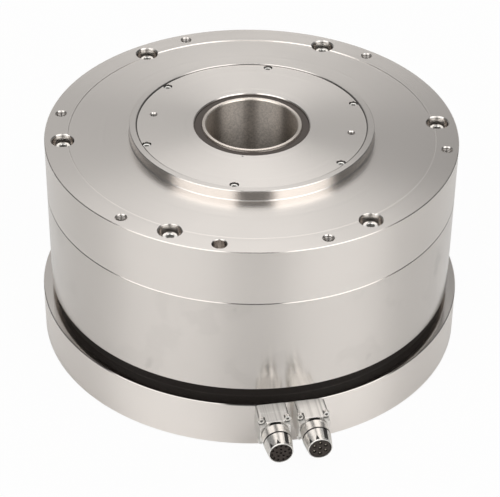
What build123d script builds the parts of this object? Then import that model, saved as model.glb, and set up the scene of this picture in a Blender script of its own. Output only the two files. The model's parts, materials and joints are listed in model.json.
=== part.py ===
from build123d import *
from math import cos, pi, radians, tan
import os

# A direct-drive torque motor. The base stands on Z = 0, the rotor turns about Z,
# and the two sockets face -Y. All lengths are millimetres and all angles degrees.

# Overall heights, from the base upwards
base_height = 43.0
rotor_gap = 10.5
drum_height = 90.0
plate_height = 51.5
spigot_height = 9.0

# Overall diameters, how far the base stands out under the rotor, and the diameter of
# the cover disc as a share of the rotor's
rotor_diameter = 360.0
base_ledge = 8.0
cover_share = 5 / 9
bore_diameter = 80.0

# Clearances and edge breaks
seat_clearance = 0.02
hole_clearance = 0.5
thread_clearance = 0.05
running_gap = 0.3
edge_break = 0.6
countersink_depth = 0.9

# Screws in general: head and key sizes follow from the thread
head_ratio = 1.5
head_extra = 1.0
key_ratio = 0.75
key_depth_ratio = 0.5

# Rotor pattern, counted from the datum line of the rotor
rotor_angle = -19.2
pattern_count = 6
load_thread = 8.5
load_thread_depth = 22.0
load_thread_inset = 10.0
dowel_diameter = 12.0
dowel_depth = 14.0
dowel_angle = -90.0
drum_screw = 8.0
drum_screw_grip = 22.0
drum_screw_inset = 16.0
drum_screw_angle = 15.0
drum_screw_sink = 5.7
counterbore_diameter = 19.2
counterbore_chamfer = 1.0

# Top plate, and the spigot ring that is let into it by its foot
rim_band = 20.0
recess_depth = 0.5
spigot_wall = 6.5
spigot_root = 0.8
spigot_foot_depth = 4.0
spigot_foot_inset = 2.0
web_thickness = 17.0
rim_width = 33.0
plate_register_height = 4.0

# Cover disc, sunk a little under the top of the spigot ring
cover_pocket_depth = 10.0
cover_sink = 1.0
cover_hole_gap = 7.0
cover_hole_chamfer = 0.8
cover_screw = 4.0
cover_screw_length = 14.0
cover_screw_inset = 3.7
cover_screw_angle = 30.0
cover_screw_pocket = 8.0
cover_screw_sink = 0.4
jack_thread = 5.0
jack_inset = 13.2
jack_count = 2
datum_dot_diameter = 1.6
datum_dot_depth = 0.6
datum_dot_inset = 2.4
shelf_thickness = 22.0
shelf_width = 16.0

# Hollow shaft
shaft_wall = 3.2
shaft_recess = 1.0
shaft_chamfer = 0.8
shaft_flange_width = 10.8
shaft_flange_height = 6.0
shaft_screw = 4.0
shaft_screw_grip = 8.0
shaft_screw_inset = 5.0
shaft_screw_count = 6

# Crossed roller bearing, set in from the edge of the cover disc
bearing_inset = 4.0
bearing_section = 26.0
bearing_width = 24.0
bearing_split = 3.0
groove_side = 12.0
roller_clearance = 0.3
roller_end_clearance = 0.5
roller_count = 30
roller_tilt = 45.0
cage_thickness = 0.8
cage_margin = 3.0
cage_pocket_clearance = 0.25

# Clamp rings of the bearing
boss_wall = 12.0
outer_clamp_height = 6.0
outer_clamp_width = 22.0
outer_clamp_screw = 4.0
outer_clamp_screw_grip = 10.0
outer_clamp_screw_sink = 0.2
inner_clamp_height = 8.0
inner_clamp_reach = 8.0
inner_clamp_bore_margin = 1.6
inner_clamp_screw = 5.0
inner_clamp_screw_grip = 12.0
clamp_screw_count = 6
clamp_bite = 0.5

# Hub steps
hub_ledge_drop = 6.5
hub_shoulder = 8.0

# Motor section
drum_wall = 22.0
drum_lip_height = 12.5
drum_lip = 6.0
magnet_thickness = 5.5
magnet_count = 28
magnet_fill = 0.87
air_gap = 1.0
slot_count = 24
shoe_depth = 4.0
slot_opening = 2.5
tooth_share = 0.46
yoke_share = 0.33
stator_standoff = 19.0
stator_step = 16.0
coil_gap = 1.1
coil_clearance = 0.3
coil_end_clearance = 2.5
coil_headroom = 3.0
coil_corner = 4.0

# Seals
dust_seal_outer_inset = 4.0
dust_seal_width = 10.0
shaft_seal_height = 8.0
shaft_seal_sink = 3.0

# Encoder
scale_thickness = 3.0
scale_height = 12.0
scale_drop = 10.0
read_gap = 0.6
read_head_depth = 14.0
read_head_width = 24.0
read_head_height = 20.0
bracket_height = 5.0
bracket_seat = 15.0
encoder_angle = 90.0
encoder_screw = 3.0
encoder_screw_length = 10.0
encoder_screw_spacing = 14.0

# Underside of the base
register_margin = 6.0
register_depth = 5.0
fixing_thread = 8.5
fixing_thread_depth = 24.0
fixing_inset = 13.0
fixing_count = 8

# Sockets on the flat of the base
flat_inset = 1.9
socket_spacing = 33.0
socket_drop = 13.0
flange_side = 26.4
flange_corner = 3.0
adapter_depth = 11.0
socket_body_depth = 11.7
ear_depth = 4.5
ear_screw = 3.0
ear_screw_inset = 2.1
ear_screw_grip = 8.0
ear_pocket_diameter = 7.4
neck_drop = 0.9
neck_length = 1.4
shell_diameter = 24.0
shell_length = 9.4
groove_width = 1.4
groove_depth = 1.5
sleeve_length = 12.5
sleeve_front_diameter = 20.8
sleeve_front_wall = 0.9
lock_slot_width = 12.4
keyway_width = 3.8
keyway_depth = 0.8
keyway_angle = 59.0
mark_width = 2.2
mark_length = 3.0
mark_depth = 0.5
mark_setback = 1.2
mark_angle_first = 102.0
mark_angle_second = 138.0
insert_recess = 0.4
insert_rim = 0.7
insert_rim_depth = 1.5
insert_length = 24.0
cable_passage = 14.0
cable_passage_reach = 52.0
power_contact_count = 6
power_contact_circle = 10.9
power_contact_hole = 3.0
power_contact_diameter = 1.3
signal_outer_count = 11
signal_outer_circle = 14.8
signal_inner_count = 5
signal_inner_circle = 7.4
signal_contact_hole = 1.9
signal_contact_diameter = 0.9
contact_hole_depth = 5.0
contact_recess = 0.6

# Radii that follow, from the rotor inwards and from the shaft outwards
rotor_radius = rotor_diameter / 2
base_radius = rotor_radius + base_ledge
recess_radius = rotor_radius - rim_band
flat_distance = base_radius - flat_inset
drum_inner = rotor_radius - drum_wall
drum_lip_radius = drum_inner - drum_lip
rim_inner = rotor_radius - rim_width
drum_screw_radius = rotor_radius - drum_screw_inset
load_thread_radius = rotor_radius - load_thread_inset
fixing_radius = base_radius - fixing_inset
magnet_inner = drum_inner - magnet_thickness
stator_radius = magnet_inner - air_gap
tooth_end = stator_radius - shoe_depth
cover_radius = rotor_radius * cover_share
cover_seat_radius = cover_radius + seat_clearance
spigot_radius = cover_radius + spigot_wall
spigot_foot_radius = spigot_radius - spigot_foot_inset
shelf_inner = cover_radius - shelf_width
cover_screw_radius = cover_radius - cover_screw_inset
jack_radius = cover_radius - jack_inset
bearing_outer_radius = cover_radius - bearing_inset
bearing_inner_radius = bearing_outer_radius - bearing_section
pitch_radius = (bearing_inner_radius + bearing_outer_radius) / 2
boss_radius = bearing_outer_radius + boss_wall
outer_clamp_screw_radius = bearing_outer_radius + boss_wall / 2
hub_radius = bearing_outer_radius
yoke_radius = hub_radius + yoke_share * (tooth_end - hub_radius)
coil_start = yoke_radius + coil_end_clearance
bore_radius = bore_diameter / 2
shaft_radius = bore_radius + shaft_wall
hub_bore_radius = shaft_radius + thread_clearance
cover_hole_radius = shaft_radius + cover_hole_gap
shaft_flange_radius = shaft_radius + shaft_flange_width
shaft_screw_radius = shaft_flange_radius - shaft_screw_inset
register_radius = shaft_flange_radius + register_margin
inner_clamp_screw_radius = (hub_bore_radius + bearing_inner_radius) / 2
insert_radius = sleeve_front_diameter / 2 - sleeve_front_wall
neck_radius = shell_diameter / 2 - neck_drop
ear_screw_spacing = flange_side - 2 * ear_screw_inset

# Half the angle from one tooth to the next, and the tooth and winding that share it
half_pitch = radians(180 / slot_count)
tooth_room = coil_start * tan(half_pitch)
tooth_width = 2 * tooth_share * tooth_room
coil_thickness = tooth_room - tooth_width / 2 - coil_clearance - coil_gap

# Heights that follow
drum_bottom = base_height + rotor_gap
seam_z = drum_bottom + drum_height
top_z = seam_z + plate_height
recess_z = top_z - recess_depth
spigot_foot_z = recess_z - spigot_foot_depth
spigot_top = top_z + spigot_height
cover_top = spigot_top - cover_sink
cover_seat_z = spigot_top - cover_pocket_depth
cover_screw_seat = cover_top - cover_screw_sink - cover_screw
drum_screw_seat = top_z - drum_screw_sink - drum_screw
bearing_top = cover_seat_z - shelf_thickness
bearing_bottom = bearing_top - bearing_width
bearing_middle = (bearing_top + bearing_bottom) / 2
outer_clamp_bottom = bearing_bottom - outer_clamp_height
outer_clamp_seat = outer_clamp_bottom + outer_clamp_screw + outer_clamp_screw_sink
inner_clamp_seat = bearing_top + inner_clamp_height - inner_clamp_screw
hub_ledge_z = outer_clamp_bottom - hub_ledge_drop
hub_top = bearing_top - clamp_bite
encoder_screw_seat = hub_ledge_z + bracket_height - encoder_screw
stator_bottom = base_height + stator_standoff
stator_top = hub_ledge_z - coil_headroom - coil_thickness - coil_clearance
stator_middle = (stator_bottom + stator_top) / 2
shaft_bottom = register_depth + edge_break
socket_height = base_height - socket_drop

UP = (Align.CENTER, Align.CENTER, Align.MIN)
DOWN = (Align.CENTER, Align.CENTER, Align.MAX)


def turned(*corners):
    """Solid turned about Z from its corners, each a radius and a height."""
    outline = Polyline(*[(radius, 0, height) for radius, height in corners], close=True)
    return revolve(make_face(outline), Axis.Z)


def post(diameter, bottom, top):
    """Upright cylinder between two heights."""
    return Pos(Z=bottom) * Cylinder(diameter / 2, top - bottom, align=UP)


def ringed(shape, radius, count, start=0.0):
    """Copies of a shape on a circle around Z."""
    return [place * shape for place in PolarLocations(radius, count, start_angle=start)]


def tapped_hole(diameter, depth):
    """Cutter for a blind tapped hole that opens upwards at Z = 0, with its countersink."""
    mouth = diameter / 2 + countersink_depth
    hole = Cylinder(diameter / 2, depth, align=DOWN)
    return hole + Cone(diameter / 2, mouth, countersink_depth, align=DOWN)


def head_diameter(thread):
    return head_ratio * thread + head_extra


def cap_screw(thread, length):
    """Socket head cap screw: the head sits on Z = 0 and the shank points down."""
    head = Cylinder(head_diameter(thread) / 2, thread, align=UP)
    shank = Cylinder(thread / 2, length, align=DOWN)
    key_radius = key_ratio * thread / 2 / cos(pi / 6)
    key_depth = key_depth_ratio * thread
    key = Pos(Z=thread - key_depth) * extrude(RegularPolygon(key_radius, 6), key_depth)
    return head + shank - key


def screw_hole(thread, depth):
    """Cutter for the tapped hole that takes a screw's shank, downwards from Z = 0."""
    return Cylinder(thread / 2 + thread_clearance, depth, align=DOWN)


def group(shapes):
    """Separate solids that are written as one node."""
    return Compound([solid for shape in shapes for solid in shape.solids()])


def on_rotor(shape):
    return Rot(Z=rotor_angle) * shape


# Base, hub and underside

def base_profile():
    """Wide base with the hub that carries the stator and the bearing."""
    stator_step_radius = hub_radius + stator_step
    shoulder_radius = bearing_inner_radius + hub_shoulder
    return turned(
        (hub_bore_radius, 0),
        (base_radius - edge_break, 0),
        (base_radius, edge_break),
        (base_radius, base_height - edge_break),
        (base_radius - edge_break, base_height),
        (stator_step_radius, base_height),
        (stator_step_radius, stator_bottom),
        (hub_radius, stator_bottom),
        (hub_radius, hub_ledge_z),
        (shoulder_radius, hub_ledge_z),
        (shoulder_radius, bearing_bottom),
        (bearing_inner_radius, bearing_bottom),
        (bearing_inner_radius, hub_top),
        (hub_bore_radius, hub_top),
    )


def socket_place(side):
    """Frame on the flat of the base for one socket: its Z points outwards."""
    origin = (side * socket_spacing / 2, -flat_distance, socket_height)
    return Plane(origin=origin, x_dir=(1, 0, 0), z_dir=(0, -1, 0))


def cable_passages():
    """Bores that lead from the sockets to the space under the windings."""
    inward = Cylinder(cable_passage / 2, cable_passage_reach, align=DOWN)
    cutters = []
    for side in (-1, 1):
        cutters.append(socket_place(side) * inward)
        end = Pos(side * socket_spacing / 2, cable_passage_reach - flat_distance)
        cutters.append(end * post(cable_passage, socket_height, base_height))
    return cutters


def base_housing():
    body = base_profile()
    beyond = base_radius - flat_distance
    flat = Pos(Y=-flat_distance) * Box(
        2 * base_radius, beyond, base_height, align=(Align.CENTER, Align.MAX, Align.MIN)
    )
    body -= flat
    body -= post(2 * register_radius, 0, register_depth)
    flange_pocket = 2 * (shaft_flange_radius + running_gap)
    body -= post(flange_pocket, register_depth, shaft_bottom + shaft_flange_height)
    fixing = Rot(X=180) * tapped_hole(fixing_thread, fixing_thread_depth)
    body -= ringed(fixing, fixing_radius, fixing_count, 180 / fixing_count)
    body -= cable_passages()
    body -= [screw_place * ear_screw_cutter() for screw_place in ear_screw_places()]
    shaft_hole = Rot(X=180) * screw_hole(shaft_screw, shaft_screw_grip)
    shaft_hole = Pos(Z=shaft_bottom + shaft_flange_height) * shaft_hole
    body -= ringed(shaft_hole, shaft_screw_radius, shaft_screw_count)
    clamp_hole = Pos(Z=hub_top) * screw_hole(inner_clamp_screw, inner_clamp_screw_grip)
    body -= ringed(clamp_hole, inner_clamp_screw_radius, clamp_screw_count)
    encoder_hole = Pos(Z=hub_ledge_z) * screw_hole(encoder_screw, encoder_screw_length)
    body -= [place * encoder_hole for place in encoder_screw_places()]
    return body


# Hollow shaft and its seal

def hollow_shaft():
    """Fixed tube through the middle, with a foot flange under the hub."""
    flange_top = shaft_bottom + shaft_flange_height
    shaft_top = spigot_top - shaft_recess
    tube = turned(
        (bore_radius, shaft_bottom),
        (shaft_flange_radius, shaft_bottom),
        (shaft_flange_radius, flange_top),
        (shaft_radius, flange_top),
        (shaft_radius, shaft_top),
        (bore_radius + shaft_chamfer, shaft_top),
        (bore_radius, shaft_top - shaft_chamfer),
    )
    head = Cylinder(head_diameter(shaft_screw) / 2 + running_gap, shaft_screw, align=UP)
    shank = Cylinder(shaft_screw / 2 + running_gap, shaft_flange_height, align=UP)
    hole = Pos(Z=shaft_bottom) * (head + shank)
    return tube - ringed(hole, shaft_screw_radius, shaft_screw_count)


def shaft_screws():
    screw = Rot(X=180) * cap_screw(shaft_screw, shaft_flange_height + shaft_screw_grip - shaft_screw)
    screw = Pos(Z=shaft_bottom + shaft_screw) * screw
    return group(ringed(screw, shaft_screw_radius, shaft_screw_count))


def shaft_seal():
    """Seal ring on the shaft that closes the hole of the cover disc."""
    top = spigot_top - shaft_seal_sink
    outside = 2 * (cover_hole_radius - running_gap)
    return post(outside, top - shaft_seal_height, top) - post(2 * hub_bore_radius, 0, spigot_top)


# Stator

def stator_core():
    """Lamination stack: a yoke ring with straight teeth that end in shoes."""
    def half_slot(radius):
        return radius * tan(half_pitch) - tooth_width / 2 / cos(half_pitch)

    slot = Polygon(
        (yoke_radius, -half_slot(yoke_radius)),
        (tooth_end, -half_slot(tooth_end)),
        (tooth_end, half_slot(tooth_end)),
        (yoke_radius, half_slot(yoke_radius)),
        align=None,
    )
    mouth = Rectangle(shoe_depth * 2, slot_opening, align=(Align.MIN, Align.CENTER))
    slot += Pos(X=tooth_end - shoe_depth / 2) * mouth
    section = Circle(stator_radius) - Circle(hub_radius + seat_clearance)
    start = 180 / slot_count
    section -= [Rot(Z=start + 360 * index / slot_count) * slot for index in range(slot_count)]
    return Pos(Z=stator_bottom) * extrude(section, stator_top - stator_bottom)


def stator_coil():
    """One winding around a tooth, wound about X."""
    inner_width = tooth_width + 2 * coil_clearance
    inner_height = stator_top - stator_bottom + 2 * coil_clearance
    outer_width = inner_width + 2 * coil_thickness
    outer_height = inner_height + 2 * coil_thickness
    ring = RectangleRounded(outer_width, outer_height, coil_corner)
    ring -= Rectangle(inner_width, inner_height)
    side_on = Plane(origin=(coil_start, 0, stator_middle), x_dir=(0, 1, 0), z_dir=(1, 0, 0))
    return extrude(side_on * ring, tooth_end - coil_end_clearance - coil_start)


def stator_coils():
    coil = stator_coil()
    return group([Rot(Z=360 * index / slot_count) * coil for index in range(slot_count)])


# Drum and magnets

def rotor_drum():
    """Turning drum: the outer wall that carries the magnets."""
    lip_bottom = seam_z - drum_lip_height
    drum = turned(
        (drum_inner, drum_bottom),
        (rotor_radius - edge_break, drum_bottom),
        (rotor_radius, drum_bottom + edge_break),
        (rotor_radius, seam_z - edge_break),
        (rotor_radius - edge_break, seam_z),
        (drum_lip_radius, seam_z),
        (drum_lip_radius, lip_bottom),
        (drum_inner, lip_bottom),
    )
    hole = Pos(Z=seam_z) * screw_hole(drum_screw, drum_screw_grip)
    holes = ringed(hole, drum_screw_radius, pattern_count, drum_screw_angle)
    return on_rotor(drum - holes)


def rotor_magnets():
    """Curved magnets on the inner wall of the drum."""
    band = Circle(drum_inner - seat_clearance) - Circle(magnet_inner)
    half_width = rotor_radius * tan(radians(180 * magnet_fill / magnet_count))
    wedge = Polygon((0, 0), (rotor_radius, -half_width), (rotor_radius, half_width), align=None)
    magnet = extrude(band & wedge, stator_top - stator_bottom)
    magnet = Pos(Z=stator_bottom) * magnet
    turns = [Rot(Z=rotor_angle + 360 * index / magnet_count) for index in range(magnet_count)]
    return group([turn * magnet for turn in turns])


# Top plate

def plate_profile():
    """Top plate with its rim, its groove for the spigot ring and the boss for the bearing."""
    step_radius = drum_lip_radius - seat_clearance
    step_bottom = seam_z - plate_register_height
    web_bottom = top_z - web_thickness
    groove_radius = spigot_foot_radius + seat_clearance
    groove_bottom = spigot_foot_z - seat_clearance
    bearing_seat_radius = bearing_outer_radius + seat_clearance
    return turned(
        (rotor_radius - edge_break, seam_z),
        (rotor_radius, seam_z + edge_break),
        (rotor_radius, top_z - edge_break),
        (rotor_radius - edge_break, top_z),
        (recess_radius, top_z),
        (recess_radius - recess_depth, recess_z),
        (groove_radius, recess_z),
        (groove_radius, groove_bottom),
        (cover_radius, groove_bottom),
        (cover_radius, cover_seat_z),
        (shelf_inner, cover_seat_z),
        (shelf_inner, bearing_top),
        (bearing_seat_radius, bearing_top),
        (bearing_seat_radius, bearing_bottom + clamp_bite),
        (boss_radius, bearing_bottom + clamp_bite),
        (boss_radius, web_bottom),
        (rim_inner, web_bottom),
        (rim_inner, step_bottom),
        (step_radius, step_bottom),
        (step_radius, seam_z),
    )


def counterbored_hole():
    """Cutter for one screw of the drum, through the rim of the plate."""
    shank = post(drum_screw + 2 * hole_clearance, seam_z, top_z)
    pocket = post(counterbore_diameter, drum_screw_seat, top_z)
    narrow = counterbore_diameter / 2
    wide = narrow + counterbore_chamfer
    mouth = Pos(Z=top_z) * Cone(narrow, wide, counterbore_chamfer, align=DOWN)
    return shank + pocket + mouth


def top_plate():
    plate = plate_profile()
    thread = Pos(Z=top_z) * tapped_hole(load_thread, load_thread_depth)
    plate -= ringed(thread, load_thread_radius, pattern_count)
    narrow = dowel_diameter / 2
    dowel = Cylinder(narrow, dowel_depth, align=DOWN)
    dowel = Pos(Z=top_z) * (dowel + Cone(narrow, narrow + edge_break, edge_break, align=DOWN))
    plate -= ringed(dowel, load_thread_radius, 1, dowel_angle)
    plate -= ringed(counterbored_hole(), drum_screw_radius, pattern_count, drum_screw_angle)
    cover_hole = Pos(Z=cover_seat_z) * screw_hole(cover_screw, cover_screw_length)
    plate -= ringed(cover_hole, cover_screw_radius, pattern_count, cover_screw_angle)
    clamp_hole = Rot(X=180) * screw_hole(outer_clamp_screw, outer_clamp_screw_grip)
    clamp_hole = Pos(Z=bearing_bottom + clamp_bite) * clamp_hole
    plate -= ringed(clamp_hole, outer_clamp_screw_radius, clamp_screw_count)
    return on_rotor(plate)


def spigot_ring():
    """Raised centring ring, let into the plate by its foot, with the cover disc inside."""
    return turned(
        (cover_seat_radius, spigot_foot_z),
        (spigot_foot_radius, spigot_foot_z),
        (spigot_foot_radius, recess_z),
        (spigot_radius + spigot_root, recess_z),
        (spigot_radius, recess_z + spigot_root),
        (spigot_radius, spigot_top - edge_break),
        (spigot_radius - edge_break, spigot_top),
        (cover_seat_radius + cover_sink, spigot_top),
        (cover_seat_radius, cover_top),
    )


def drum_screws():
    length = drum_screw_seat - seam_z + drum_screw_grip - hole_clearance
    screw = Pos(Z=drum_screw_seat) * cap_screw(drum_screw, length)
    screws = ringed(screw, drum_screw_radius, pattern_count, drum_screw_angle)
    return group([on_rotor(screw) for screw in screws])


# Cover disc

def cover_disc():
    """Disc inside the spigot ring, with a hole for the fixed shaft."""
    disc = turned(
        (cover_hole_radius, cover_seat_z),
        (cover_radius, cover_seat_z),
        (cover_radius, cover_top - running_gap),
        (cover_radius - running_gap, cover_top),
        (cover_hole_radius + cover_hole_chamfer, cover_top),
        (cover_hole_radius, cover_top - cover_hole_chamfer),
    )
    shank = post(cover_screw + 2 * running_gap, cover_seat_z, cover_top)
    pocket = post(cover_screw_pocket, cover_screw_seat, cover_top)
    disc -= ringed(shank + pocket, cover_screw_radius, pattern_count, cover_screw_angle)
    jack = Pos(Z=cover_top) * tapped_hole(jack_thread, cover_top - cover_seat_z)
    disc -= ringed(jack, jack_radius, jack_count)
    dot = Pos(Z=cover_top) * Cylinder(datum_dot_diameter / 2, datum_dot_depth, align=DOWN)
    disc -= ringed(dot, cover_hole_radius + datum_dot_inset, 1, dowel_angle)
    return on_rotor(disc)


def cover_screws():
    length = cover_screw_seat - cover_seat_z + cover_screw_length - hole_clearance
    screw = Pos(Z=cover_screw_seat) * cap_screw(cover_screw, length)
    screws = ringed(screw, cover_screw_radius, pattern_count, cover_screw_angle)
    return group([on_rotor(screw) for screw in screws])


# Crossed roller bearing

def bearing_groove():
    """Square groove on its corner that the rollers run in."""
    half_diagonal = groove_side / 2 / cos(radians(roller_tilt))
    return turned(
        (pitch_radius - half_diagonal, bearing_middle),
        (pitch_radius, bearing_middle - half_diagonal),
        (pitch_radius + half_diagonal, bearing_middle),
        (pitch_radius, bearing_middle + half_diagonal),
    )


def bearing_race(inside, outside):
    return turned(
        (inside, bearing_bottom),
        (outside, bearing_bottom),
        (outside, bearing_top),
        (inside, bearing_top),
    )


def bearing_inner_ring():
    inside = bearing_inner_radius + seat_clearance
    return bearing_race(inside, pitch_radius - bearing_split / 2) - bearing_groove()


def bearing_outer_ring():
    inside = pitch_radius + bearing_split / 2
    return on_rotor(bearing_race(inside, bearing_outer_radius) - bearing_groove())


def crossed(radius, length):
    """Cylinders on the pitch circle, tilted outwards and inwards in turn."""
    cylinder = Cylinder(radius, length)
    tilted = []
    for index in range(roller_count):
        tilt = roller_tilt if index % 2 == 0 else -roller_tilt
        turn = Rot(Z=360 * index / roller_count)
        tilted.append(turn * Pos(pitch_radius, 0, bearing_middle) * Rot(Y=tilt) * cylinder)
    return tilted


def bearing_rollers():
    radius = groove_side / 2 - roller_clearance
    return group(crossed(radius, groove_side - 2 * roller_end_clearance))


def bearing_cage():
    """Thin band that keeps the rollers apart."""
    bottom = bearing_bottom + cage_margin
    top = bearing_top - cage_margin
    band = post(2 * pitch_radius + cage_thickness, bottom, top)
    band -= post(2 * pitch_radius - cage_thickness, bottom, top)
    pocket_radius = groove_side / 2 - roller_clearance + cage_pocket_clearance
    return band - crossed(pocket_radius, 2 * groove_side)


# Clamp rings of the bearing

def inner_clamp_ring():
    """Ring on top of the hub that holds the inner race down."""
    top = bearing_top + inner_clamp_height
    outside = 2 * (bearing_inner_radius + inner_clamp_reach)
    inside = 2 * (hub_bore_radius + inner_clamp_bore_margin)
    ring = post(outside, bearing_top, top) - post(inside, bearing_top, top)
    shank = post(inner_clamp_screw + hole_clearance, bearing_top, inner_clamp_seat)
    pocket = post(head_diameter(inner_clamp_screw) + hole_clearance, inner_clamp_seat, top)
    return ring - ringed(shank + pocket, inner_clamp_screw_radius, clamp_screw_count)


def inner_clamp_screws():
    length = inner_clamp_seat - hub_top + inner_clamp_screw_grip - hole_clearance
    screw = Pos(Z=inner_clamp_seat) * cap_screw(inner_clamp_screw, length)
    return group(ringed(screw, inner_clamp_screw_radius, clamp_screw_count))


def outer_clamp_ring():
    """Ring under the boss that holds the outer race up."""
    bottom, top = outer_clamp_bottom, bearing_bottom
    ring = post(2 * boss_radius, bottom, top)
    ring -= post(2 * (boss_radius - outer_clamp_width), bottom, top)
    shank = post(outer_clamp_screw + hole_clearance, bottom, top)
    pocket = post(head_diameter(outer_clamp_screw) + hole_clearance, bottom, outer_clamp_seat)
    holes = ringed(shank + pocket, outer_clamp_screw_radius, clamp_screw_count)
    return on_rotor(ring - holes)


def outer_clamp_screws():
    start = bearing_bottom + clamp_bite
    length = start - outer_clamp_seat + outer_clamp_screw_grip - hole_clearance
    screw = Pos(Z=outer_clamp_seat) * Rot(X=180) * cap_screw(outer_clamp_screw, length)
    screws = ringed(screw, outer_clamp_screw_radius, clamp_screw_count)
    return group([on_rotor(screw) for screw in screws])


# Encoder

def encoder_scale():
    """Graduated ring on the boss of the top plate."""
    top = top_z - web_thickness - scale_drop
    outside = 2 * (boss_radius + scale_thickness)
    ring = post(outside, top - scale_height, top)
    return ring - post(2 * (boss_radius + seat_clearance), top - scale_height, top)


def encoder_screw_places():
    """Places of the two bracket screws on the ledge of the hub."""
    radius = hub_radius - bracket_seat / 2
    turn = Rot(Z=encoder_angle)
    return [turn * Pos(radius, side * encoder_screw_spacing / 2, 0) for side in (-1, 1)]


def encoder_head():
    """Read head on its bracket, which stands on the ledge of the hub."""
    seat_inner = hub_radius - bracket_seat
    head_inner = boss_radius + scale_thickness + read_gap
    head_outer = head_inner + read_head_depth
    corner = (Align.MIN, Align.CENTER, Align.MIN)
    arm = Box(head_outer - seat_inner, read_head_width, bracket_height, align=corner)
    arm = Pos(seat_inner, 0, hub_ledge_z) * arm
    scale_middle = top_z - web_thickness - scale_drop - scale_height / 2
    head_bottom = scale_middle - read_head_height / 2
    head = Box(read_head_depth, read_head_width, read_head_height, align=corner)
    neck_height = head_bottom - hub_ledge_z
    neck = Box(read_head_depth / 2, read_head_width, neck_height, align=corner)
    head = Pos(head_inner, 0, head_bottom) * head
    neck = Pos(head_inner + read_head_depth / 2, 0, hub_ledge_z) * neck
    hole = post(encoder_screw + hole_clearance, hub_ledge_z, encoder_screw_seat)
    pocket_top = hub_ledge_z + bracket_height
    hole += post(head_diameter(encoder_screw) + hole_clearance, encoder_screw_seat, pocket_top)
    body = Rot(Z=encoder_angle) * (arm + neck + head)
    return body - [place * hole for place in encoder_screw_places()]


def encoder_screws():
    screw = Pos(Z=encoder_screw_seat) * cap_screw(encoder_screw, encoder_screw_length)
    return group([place * screw for place in encoder_screw_places()])


# Seals

def dust_seal():
    """Black band that closes the gap between the base and the drum."""
    outside = rotor_radius - dust_seal_outer_inset
    top = drum_bottom - running_gap
    ring = post(2 * outside, base_height, top)
    return ring - post(2 * (outside - dust_seal_width), base_height, top)


# Sockets

def ear_screw_spots():
    """Four screw places of one socket, on the frame of that socket."""
    return GridLocations(ear_screw_spacing, ear_screw_spacing, 2, 2)


def ear_screw_places():
    return [socket_place(side) * spot for side in (-1, 1) for spot in ear_screw_spots()]


def ear_screw_cutter():
    return screw_hole(ear_screw, ear_screw_grip)


def flange_block(depth):
    block = extrude(RectangleRounded(flange_side, flange_side, flange_corner), depth)
    return chamfer(block.faces().sort_by(Axis.Z)[-1].edges(), running_gap)


def socket_adapter(side):
    """Square spacer between the flat of the base and one socket."""
    block = flange_block(adapter_depth) - Cylinder(cable_passage / 2, adapter_depth, align=UP)
    hole = Cylinder((ear_screw + hole_clearance) / 2, adapter_depth, align=UP)
    return socket_place(side) * (block - [spot * hole for spot in ear_screw_spots()])


def socket_body(side):
    """Socket housing: square flange with cut-back ears, a neck and a round shell."""
    block = flange_block(socket_body_depth)
    pocket = Cylinder(ear_pocket_diameter / 2, socket_body_depth, align=UP)
    hole = Cylinder((ear_screw + hole_clearance) / 2, ear_depth, align=UP)
    block -= [spot * (Pos(Z=ear_depth) * pocket + hole) for spot in ear_screw_spots()]
    shell_start = socket_body_depth + neck_length
    shell_end = shell_start + shell_length
    spigot_end = shell_end + groove_width
    shell = turned(
        (0, 0),
        (neck_radius, 0),
        (neck_radius, shell_start),
        (shell_diameter / 2 - edge_break, shell_start),
        (shell_diameter / 2, shell_start + edge_break),
        (shell_diameter / 2, shell_end),
        (shell_diameter / 2 - groove_depth, shell_end),
        (shell_diameter / 2 - groove_depth, spigot_end),
        (0, spigot_end),
    )
    slot = Box(lock_slot_width, shell_diameter / 2, neck_length, align=UP)
    shell -= Pos(0, insert_radius + shell_diameter / 4 + seat_clearance, socket_body_depth) * slot
    body = block + shell - Cylinder(insert_radius, spigot_end, align=UP)
    return socket_place(side) * Pos(Z=adapter_depth) * body


def sleeve_start():
    return adapter_depth + socket_body_depth + neck_length + shell_length + groove_width


def sleeve_mark(angle):
    """Cutter for one small pointed mark near the front rim."""
    radius = sleeve_front_diameter / 2
    mark = Polygon((0, -mark_width / 2), (0, mark_width / 2), (mark_length, 0), align=None)
    start = sleeve_length - mark_setback
    frame = Plane(origin=(radius - mark_depth, 0, start), x_dir=(0, 0, -1), z_dir=(1, 0, 0))
    return Rot(Z=angle) * extrude(frame * mark, 2 * mark_length)


def socket_sleeve(side):
    """Tapered front sleeve of a socket, with its keyway and two marks."""
    back = shell_diameter / 2
    front = sleeve_front_diameter / 2
    sleeve = turned(
        (insert_radius, 0),
        (back, 0),
        (front, sleeve_length - edge_break),
        (front - edge_break / 2, sleeve_length),
        (insert_radius, sleeve_length),
    )
    key = Box(
        keyway_depth * 2, keyway_width, sleeve_length - mark_setback,
        align=(Align.CENTER, Align.CENTER, Align.MIN)
    )
    tilt = Rot(Y=-Vector(sleeve_length, 0, back - front).get_angle(Vector(1, 0, 0)))
    sleeve -= Rot(Z=keyway_angle) * Pos(X=back) * tilt * key
    sleeve -= [sleeve_mark(mark_angle_first), sleeve_mark(mark_angle_second)]
    return socket_place(side) * Pos(Z=sleeve_start()) * sleeve


def contact_spots(count, circle):
    return [Location()] + list(PolarLocations(circle / 2, count, start_angle=90))


def signal_spots():
    inner = PolarLocations(signal_inner_circle / 2, signal_inner_count, start_angle=90)
    return contact_spots(signal_outer_count, signal_outer_circle) + list(inner)


def power_spots():
    return contact_spots(power_contact_count, power_contact_circle)


def insert_front():
    return sleeve_start() + sleeve_length - insert_recess


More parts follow.
